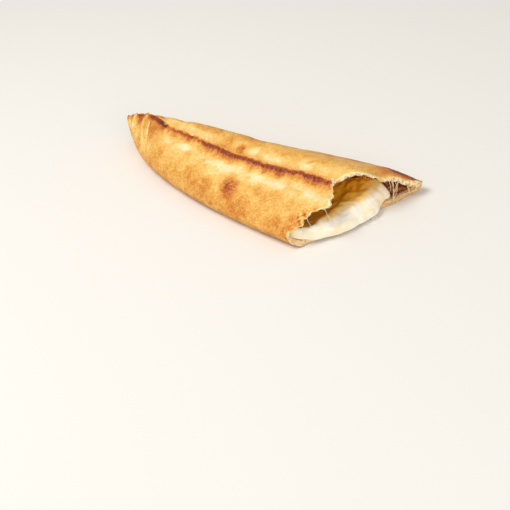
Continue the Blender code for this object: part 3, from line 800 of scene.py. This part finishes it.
# Yellow of fat that ran out of the cheese together with painted shade: none on the front of the roll, much
# in the sunk part behind it where the roof shades it
dry_unshaded_rim = 0.0105 - 0.0075 * ease(-y, 0.012, 0.030) + 0.0050 * ease(y, 0.002, 0.014)
oily = ease(cheese_ridge(y) - x + dry_unshaded_rim + 0.0018 * wander(x, y, 0.0070, 33.0), 0.0, 0.0175)
# Painted shade: the roll's front edge and underside are tinted a little darker and yellower
shade_under_roll = 1.0 - ease(front - x + 0.0012 * wander(x, y, 0.0050, 35.0), 0.0004, 0.0060)
oily = np.maximum(oily, (0.07 + 0.08 * wander(x, y, 0.0060, 37.0)) * shade_under_roll)
set_levels(cheese.data, "oily", np.concatenate([oily.ravel(), oily[1:-1, 1:-1].ravel()]))

# Melted mozzarella: milky and translucent, so shadows in it go warm; smooth and wet with fat, with clouds of
# cream about 9 mm wide and ripples of 4 mm.
melted, tree, shader = new_material("melted_cheese", {
    "Roughness": 0.24, "IOR": 1.45, "Subsurface Weight": 0.35,
    "Subsurface Radius": (1.0, 0.80, 0.50), "Subsurface Scale": 0.003,
})
place = add_node(tree, "ShaderNodeTexCoord").outputs["Object"]
clouds = add_node(
    tree, "ShaderNodeTexNoise", {"Vector": place, "Scale": 110.0, "Detail": 3.0, "Roughness": 0.55}
)
milk = add_node(tree, "ShaderNodeValToRGB", {"Fac": clouds})
add_stops(milk, ((0.32, "#FAE9CC"), (0.46, "#FFFAF0"), (0.58, "#FFFAF0"), (0.70, "#FDF1DA")))
# The attribute tints the cheese from white to olive gold: partly fat that ran out, partly painted shade in
# the pocket and under the roll
fat_and_shade_at = add_node(tree, "ShaderNodeAttribute", attribute_name="oily").outputs["Fac"]
fat_and_shade_colour = add_node(tree, "ShaderNodeValToRGB", {"Fac": fat_and_shade_at})
add_stops(fat_and_shade_colour, ((0.0, "#FFFFFF"), (0.16, "#FCEBC6"), (0.50, "#F8D272"), (1.0, "#FAC23C")))
tinted = add_node(
    tree, "ShaderNodeMix", {"Factor": 1.0, "A": milk, "B": fat_and_shade_colour}, data_type="RGBA", blend_type="MULTIPLY"
)
tree.links.new(tinted.outputs["Result"], shader.inputs["Base Color"])
ripples = add_node(
    tree, "ShaderNodeTexNoise", {"Vector": place, "Scale": 260.0, "Detail": 2.0, "Roughness": 0.5}
)
wet_bump = add_node(tree, "ShaderNodeBump", {"Height": ripples, "Strength": 0.25, "Distance": 0.0007})
tree.links.new(wet_bump.outputs["Normal"], shader.inputs["Normal"])
cheese.data.materials.append(melted)
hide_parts("cheese")
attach(cheese, "root")

# ================================================================ the minced meat
# Browned mince that was laid along the far side before the dough was folded. It is a loose strip of crumbly
# grains, 2 to 5 mm each, wet with fat. The core holds the strip's form and the grains lie on and in it.

MEAT_SETBACK = 0.0050
MEAT_NOSE = 0.0030
MEAT_SUNK = 0.40
GRAIN = 0.0042
MEAT_COLUMNS, MEAT_ROWS = 120, 34
GRAINS_PER_M2 = 130000.0
GRAIN_RADIUS = (0.0007, 0.0022)
GRAINS_FROM = 0.212
GRAIN_STRIP = (0.0315, 0.0470)  # the floor before the core that grains lie on
STUCK_BETWEEN = (0.0030, 0.0200)
STUCK_PER_M2 = 420000.0
STUCK_RADIUS = (0.0005, 0.0011)

u, v = np.meshgrid(np.linspace(0, 1, MEAT_COLUMNS + 1), np.linspace(0, 1, MEAT_ROWS + 1), indexing="ij")
share = 0.5 - 0.5 * np.cos(math.pi * v)
front_y = mix(float(meat_line(np.array(LENGTH))), float(lining_edges(np.array(LENGTH))[1]), share)
front = torn_line(front_y) - MEAT_SETBACK + 0.0010 * wander(share, 0.0, 0.2, 21.0)
x = mix(MEAT_START, front, np.sin(0.5 * math.pi * u) ** 1.15)
near, far = meat_line(x) + FILM, lining_edges(x)[1] - FILM
y = mix(near, far, share)
low = lining_floor(x, y) + FILM
high = np.maximum(low, lining_roof(x, y) - 0.0012 - 0.0008 * (1.0 + wander(x, y, GRAIN, 17.5)))
high = mix(high, low, MEAT_SUNK * ease(x, front - 0.014, front))
ends = rounded(front - x, MEAT_NOSE) * rounded(x - MEAT_START, MEAT_NOSE)
fullness = ends * rounded(y - near + 0.0002, 0.0025)
border = mix(low, high, 0.5)
core = pillow_mesh("mince_core", x, y, mix(border, high, fullness), mix(border, low, fullness))

# Cooked mince: dull brown protein with paler fat in patches of 2.5 mm, fibres of 1 mm, wet enough to glint.
mince, tree, shader = new_material("browned_mince", {
    "Roughness": 0.42, "Subsurface Weight": 0.1,
    "Subsurface Radius": (1.0, 0.4, 0.2), "Subsurface Scale": 0.002,
})
place = add_node(tree, "ShaderNodeTexCoord").outputs["Object"]
cooked = add_node(
    tree, "ShaderNodeTexNoise", {"Vector": place, "Scale": 380.0, "Detail": 4.0, "Roughness": 0.6}
)
meat_colour = add_node(tree, "ShaderNodeValToRGB", {"Fac": cooked})
add_stops(meat_colour, ((0.30, "#421E0E"), (0.45, "#7A3C1C"), (0.58, "#9A5628"), (0.72, "#C88E50")))
tree.links.new(meat_colour.outputs["Color"], shader.inputs["Base Color"])
fibres = add_node(tree, "ShaderNodeTexNoise", {"Vector": place, "Scale": 900.0, "Detail": 3.0})
meat_bump = add_node(tree, "ShaderNodeBump", {"Height": fibres, "Strength": 0.5, "Distance": 0.0005})
tree.links.new(meat_bump.outputs["Normal"], shader.inputs["Normal"])
core.data.materials.append(mince)


def new_group(name, numbers):
    """An empty Geometry Nodes tree that takes and gives geometry, with inputs for numbers and a material."""
    group = bpy.data.node_groups.new(name, "GeometryNodeTree")
    group.interface.new_socket("Geometry", in_out="INPUT", socket_type="NodeSocketGeometry")
    for number in numbers:
        group.interface.new_socket(number, in_out="INPUT", socket_type="NodeSocketFloat")
    group.interface.new_socket("Material", in_out="INPUT", socket_type="NodeSocketMaterial")
    group.interface.new_socket("Geometry", in_out="OUTPUT", socket_type="NodeSocketGeometry")
    return group, add_node(group, "NodeGroupInput").outputs


def finish_group(group, given, geometry, noise_scale, noise_detail):
    """Makes the geometry real, uneven by noise and smooth, gives it its material and ends the tree."""
    real = add_node(group, "GeometryNodeRealizeInstances", {"Geometry": geometry})
    bumps = add_node(group, "ShaderNodeTexNoise", {"Scale": noise_scale, "Detail": noise_detail})
    centred = add_node(
        group, "ShaderNodeVectorMath", {0: bumps.outputs["Color"], 1: (0.5, 0.5, 0.5)}, operation="SUBTRACT"
    )
    shift = add_node(
        group, "ShaderNodeVectorMath", {0: centred, "Scale": given["Unevenness"]}, operation="SCALE"
    )
    moved = add_node(group, "GeometryNodeSetPosition", {"Geometry": real, "Offset": shift})
    smooth = add_node(group, "GeometryNodeSetShadeSmooth", {"Geometry": moved})
    done = add_node(group, "GeometryNodeSetMaterial", {"Geometry": smooth, "Material": given["Material"]})
    add_node(group, "NodeGroupOutput", {"Geometry": done})
    return group


def scatter_tree(name, seed, detail):
    """A Geometry Nodes tree that covers a surface with lumps of random size and turn."""
    numbers = ("Lumps per square metre", "Smallest radius", "Largest radius", "Unevenness")
    group, given = new_group(name, numbers)
    spots = add_node(
        group, "GeometryNodeDistributePointsOnFaces",
        {"Mesh": given["Geometry"], "Density": given["Lumps per square metre"], "Seed": seed},
        distribute_method="RANDOM",
    )
    lump = add_node(group, "GeometryNodeMeshIcoSphere", {"Radius": 1.0, "Subdivisions": detail})
    size = add_node(
        group, "FunctionNodeRandomValue",
        {2: given["Smallest radius"], 3: given["Largest radius"], "Seed": seed + 1}, data_type="FLOAT",
    )
    shape = add_node(
        group, "FunctionNodeRandomValue",
        {0: (0.60, 0.50, 0.40), 1: (1.60, 1.1, 0.85), "Seed": seed + 2}, data_type="FLOAT_VECTOR",
    )
    scale = add_node(group, "ShaderNodeVectorMath", {0: shape, "Scale": size.outputs[1]}, operation="SCALE")
    turn = add_node(
        group, "FunctionNodeRandomValue",
        {0: (0.0, 0.0, 0.0), 1: (math.tau, math.tau, math.tau), "Seed": seed + 3}, data_type="FLOAT_VECTOR",
    )
    placed = add_node(
        group, "GeometryNodeInstanceOnPoints",
        {"Points": spots, "Instance": lump, "Rotation": turn, "Scale": scale},
    )
    return finish_group(group, given, placed, 480.0, 3.0)


def grown_on(name, surface, group, values):
    """Runs a tree on a surface and keeps the result as a plain mesh object of its own."""
    carrier = bpy.data.objects.new(name + "_carrier", surface)
    bpy.context.scene.collection.objects.link(carrier)
    modifier = carrier.modifiers.new("grow", "NODES")
    modifier.node_group = group
    for item in group.interface.items_tree:
        if item.in_out == "INPUT" and item.name in values:
            modifier[item.identifier] = values[item.name]
    bpy.context.view_layer.update()
    graph = bpy.context.evaluated_depsgraph_get()
    mesh = bpy.data.meshes.new_from_object(carrier.evaluated_get(graph))
    carrier.modifiers.remove(modifier)
    bpy.data.objects.remove(carrier, do_unlink=True)
    mesh.name = name
    thing = bpy.data.objects.new(name, mesh)
    bpy.context.scene.collection.objects.link(thing)
    return thing


def loose_mesh(name, points, edges, faces):
    """A mesh on its own, for a tree to grow on."""
    mesh = bpy.data.meshes.new(name)
    mesh.from_pydata(points, edges, faces)
    return mesh


def part_of(mesh, chosen):
    """Points and faces of the chosen faces of a mesh, numbered anew."""
    used = sorted({v for face in chosen for v in face.vertices})
    renumber = {v: i for i, v in enumerate(used)}
    points = [mesh.vertices[v].co[:] for v in used]
    return points, [[renumber[v] for v in face.vertices] for face in chosen]


def strip_faces(first, count):
    """Quads of a strip whose points come in pairs, one pair after another."""
    return [[k, k + 1, k + 3, k + 2] for k in range(first, first + 2 * (count - 1), 2)]


# The grains grow on the front 34 mm of the core, and on the floor before it up to the tear
in_front = [face for face in core.data.polygons if face.center.x > TIP_AT.x + GRAINS_FROM]
front_points, front_faces = part_of(core.data, in_front)
strip_y = np.linspace(*GRAIN_STRIP, 12)
strip_back = torn_line(strip_y) - MEAT_SETBACK - 0.002
strip_front = floor_tear(strip_y) - 0.0022
front_faces += strip_faces(len(front_points), len(strip_y))
for back_x, front_x, at_y in zip(strip_back, strip_front, strip_y):
    for at_x in (back_x, front_x):
        at_z = float(lining_floor(np.array(at_x), np.array(at_y))) + 0.0006
        front_points.append(tuple(Vector((at_x, at_y, at_z)) + TIP_AT))
mince_front = loose_mesh("mince_front", front_points, [], front_faces)
grains = grown_on("mince_grains", mince_front, scatter_tree("mince grains", 7, 2), {
    "Lumps per square metre": GRAINS_PER_M2, "Smallest radius": GRAIN_RADIUS[0],
    "Largest radius": GRAIN_RADIUS[1], "Unevenness": 0.0030, "Material": mince,
})
# A few crumbs of it stuck under the roof's torn edge
first_y, last_y = STUCK_BETWEEN
under_edge = [k for k in range(NEAR_SAMPLES, ON_ROOF) if first_y < lining[-1, k, 1] < last_y]
edge_points = []
for k in under_edge:
    for back in (0.0024, 0.0002):
        edge_points.append(tuple(Vector(lining[-1, k]) - Vector((back, 0.0, 0.0007)) + TIP_AT))
edge_strip = loose_mesh("under_edge", edge_points, [], strip_faces(0, len(under_edge)))
stuck = grown_on("mince_crumbs", edge_strip, scatter_tree("mince crumbs", 31, 2), {
    "Lumps per square metre": STUCK_PER_M2, "Smallest radius": STUCK_RADIUS[0],
    "Largest radius": STUCK_RADIUS[1], "Unevenness": 0.0016, "Material": mince,
})
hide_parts("meat")
for piece in (core, grains, stuck):
    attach(piece, "root")

# ================================================================ cheese strings
# Where the halves were pulled apart the cheese drew out into threads. A few still hang between the torn roof
# and the roll of cheese, and some droop below it.

STRING_RADIUS = 0.00016
# Paths of the threads: places from the tip, the first and last sunk in dough or cheese
STRINGS = (
    ((0.2254, -0.0230, 0.0247), (0.2268, -0.0224, 0.0190), (0.2264, -0.0212, 0.0140),
     (0.2251, -0.0205, 0.0101)),
    ((0.2181, -0.0337, 0.0207), (0.2204, -0.0334, 0.0155), (0.2197, -0.0313, 0.0102)),
    ((0.2160, -0.0372, 0.0165), (0.2172, -0.0368, 0.0135), (0.2170, -0.0352, 0.0097)),
    ((0.2387, 0.0291, 0.0190), (0.2392, 0.0286, 0.0130), (0.2353, 0.0275, 0.0075)),
    ((0.2405, 0.0330, 0.0170), (0.2412, 0.0332, 0.0115), (0.2386, 0.0312, 0.0031)),
    ((0.2361, 0.0011, 0.0045), (0.2405, 0.0012, 0.0022), (0.2428, 0.0042, 0.0012), (0.2432, 0.0078, 0.0022),
     (0.2402, 0.0090, 0.0036), (0.2375, 0.0098, 0.0056)),
    ((0.2363, 0.0029, 0.0045), (0.2402, 0.0034, 0.0026), (0.2412, 0.0062, 0.0018), (0.2375, 0.0082, 0.0050)),
)


def smooth_path(corners, steps):
    """Points of an even curve through the corners."""
    corners = [Vector(c) for c in corners]
    ends = [2 * corners[0] - corners[1]] + corners + [2 * corners[-1] - corners[-2]]
    points = []
    for a, b, c, d in zip(ends, ends[1:], ends[2:], ends[3:]):
        for step in range(steps):
            t = step / steps
            points.append(0.5 * (2 * b + (c - a) * t + (2 * a - 5 * b + 4 * c - d) * t**2
                                 + (3 * b - a - 3 * c + d) * t**3))
    return points + [corners[-1]]


def string_tree(name):
    """A Geometry Nodes tree that turns paths into threads, thick at both ends and thin between."""
    group, given = new_group(name, ("Thread radius", "Unevenness"))
    path = add_node(group, "GeometryNodeMeshToCurve", {"Mesh": given["Geometry"]})
    along = add_node(group, "GeometryNodeSplineParameter").outputs["Factor"]
    from_middle = add_node(group, "ShaderNodeMath", {0: along, 1: 0.5}, operation="SUBTRACT")
    squared = add_node(group, "ShaderNodeMath", {0: from_middle, 1: from_middle}, operation="MULTIPLY")
    flare = add_node(group, "ShaderNodeMath", {0: squared, 1: 3.5, 2: 0.6}, operation="MULTIPLY_ADD")
    radius = add_node(group, "ShaderNodeMath", {0: flare, 1: given["Thread radius"]}, operation="MULTIPLY")
    profile = add_node(
        group, "GeometryNodeCurvePrimitiveCircle", {"Resolution": 8, "Radius": 1.0}, mode="RADIUS"
    )
    thread = add_node(
        group, "GeometryNodeCurveToMesh",
        {"Curve": path, "Profile Curve": profile, "Scale": radius, "Fill Caps": True},
    )
    return finish_group(group, given, thread, 420.0, 2.0)


def paths_mesh(name, lines):
    """Smooth paths as edges of one mesh."""
    points, edges = [], []
    for corners in lines:
        run = smooth_path(corners, 10)
        edges += [(len(points) + step, len(points) + step + 1) for step in range(len(run) - 1)]
        points += [point + TIP_AT for point in run]
    return loose_mesh(name, points, edges, [])


threads = string_tree("threads")
strings = grown_on("cheese_strings", paths_mesh("string_paths", STRINGS), threads, {
    "Thread radius": STRING_RADIUS, "Unevenness": 0.0003, "Material": melted,
})
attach(strings, "root")

# ================================================================ torn crumbs
# Bits of the same dough that the tear left behind: crumbs that stick to the torn edge, and a few shreds of
# crumb that still hang between roof and floor by the meat.

SHRED_RADIUS = 0.0007
CRUMBS_PER_M2 = 300000.0
CRUMB_RADIUS = (0.00015, 0.0006)
# Paths of the shreds, from the roof's edge to the floor or the meat
SHREDS = (
    ((0.2392, 0.0312, 0.0200), (0.2388, 0.0318, 0.0150), (0.2392, 0.0316, 0.0095), (0.2387, 0.0311, 0.0028)),
    ((0.2405, 0.0368, 0.0175), (0.2392, 0.0362, 0.0130), (0.2366, 0.0357, 0.0075)),
    ((0.2423, 0.0418, 0.0143), (0.2418, 0.0428, 0.0105), (0.2425, 0.0438, 0.0040)),
)
shreds = grown_on("crumb_shreds", paths_mesh("shred_paths", SHREDS), threads, {
    "Thread radius": SHRED_RADIUS, "Unevenness": 0.0022, "Material": crumb,
})
# The crumbs grow on the torn edge, clear of the table and of the thin far point
torn_faces = [
    face for face in crust.data.polygons
    if (STATIONS - 1) * AROUND <= face.index < (STATIONS + 6) * AROUND
    and face.center.z > 0.0014 and face.center.y < TIP_AT.y + 0.0510
]
torn_points, torn_faces = part_of(crust.data, torn_faces)
torn_edge_mesh = loose_mesh("torn_edge", torn_points, [], torn_faces)
crumbs = grown_on("torn_crumbs", torn_edge_mesh, scatter_tree("torn crumbs", 15, 1), {
    "Lumps per square metre": CRUMBS_PER_M2, "Smallest radius": CRUMB_RADIUS[0],
    "Largest radius": CRUMB_RADIUS[1], "Unevenness": 0.0012, "Material": crumb,
})
for piece, soaked_through in ((shreds, 0.07), (crumbs, 0.04)):
    set_levels(piece.data, "depth", np.full(len(piece.data.vertices), soaked_through))
    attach(piece, "root")

# ================================================================ floor, light and camera
# A plain pale table top under a large soft lamp, seen from the near side above the torn end.

REACH = 4.0
corners = [(-REACH, -REACH, 0), (REACH, -REACH, 0), (REACH, REACH, 0), (-REACH, REACH, 0)]
floor_mesh = loose_mesh("floor", corners, [], [(0, 1, 2, 3)])
floor = bpy.data.objects.new("floor", floor_mesh)
floor.location.z = cad_low.z - 0.0002
bpy.context.scene.collection.objects.link(floor)
# Matt white paper
paper = new_material("matt_white_paper", {"Base Color": linear("#F1F0EE"), "Roughness": 0.9})[0]
floor_mesh.materials.append(paper)

world = bpy.data.worlds.new("studio")
world.use_nodes = True
bpy.context.scene.world = world
sky = world.node_tree.nodes["Background"]
sky.inputs["Color"].default_value = linear("#FBF8F3")
sky.inputs["Strength"].default_value = 0.50


def add_lamp(name, towards, distance, size, power, colour):
    """A round softbox at a distance in the given direction, turned to the object."""
    data = bpy.data.lights.new(name, "AREA")
    data.shape = "DISK"
    data.size = size
    data.energy = power
    data.color = linear(colour)[:3]
    lamp = bpy.data.objects.new(name, data)
    direction = Vector(towards).normalized()
    lamp.location = direction * distance
    lamp.rotation_euler = direction.to_track_quat("Z", "Y").to_euler()
    bpy.context.scene.collection.objects.link(lamp)


add_lamp("key_softbox", (-0.25, -0.45, 1.0), distance=1.3, size=0.7, power=9.8, colour="#FFFAF2")
add_lamp("fill_softbox", (1.0, -0.42, 0.40), distance=1.6, size=1.0, power=8.0, colour="#FFFBF4")
bpy.context.scene.view_settings.view_transform = "Standard"

CAMERA_AT = TIP_AT + Vector((0.68541, -0.47701, 0.4546))
LOOKS_ALONG = Vector((-0.6246, 0.5259, -0.5773))
CAMERA_ROLL = math.radians(-11.76)
camera_data = bpy.data.cameras.new("camera")
camera_data.lens = 82.93
camera_data.sensor_width = 36.0
camera_data.clip_start = 0.02
camera = bpy.data.objects.new("camera", camera_data)
level = LOOKS_ALONG.to_track_quat("-Z", "Y").to_matrix().to_4x4()
camera.matrix_world = Matrix.Translation(CAMERA_AT) @ level @ Matrix.Rotation(CAMERA_ROLL, 4, "Z")
bpy.context.scene.collection.objects.link(camera)
bpy.context.scene.camera = camera
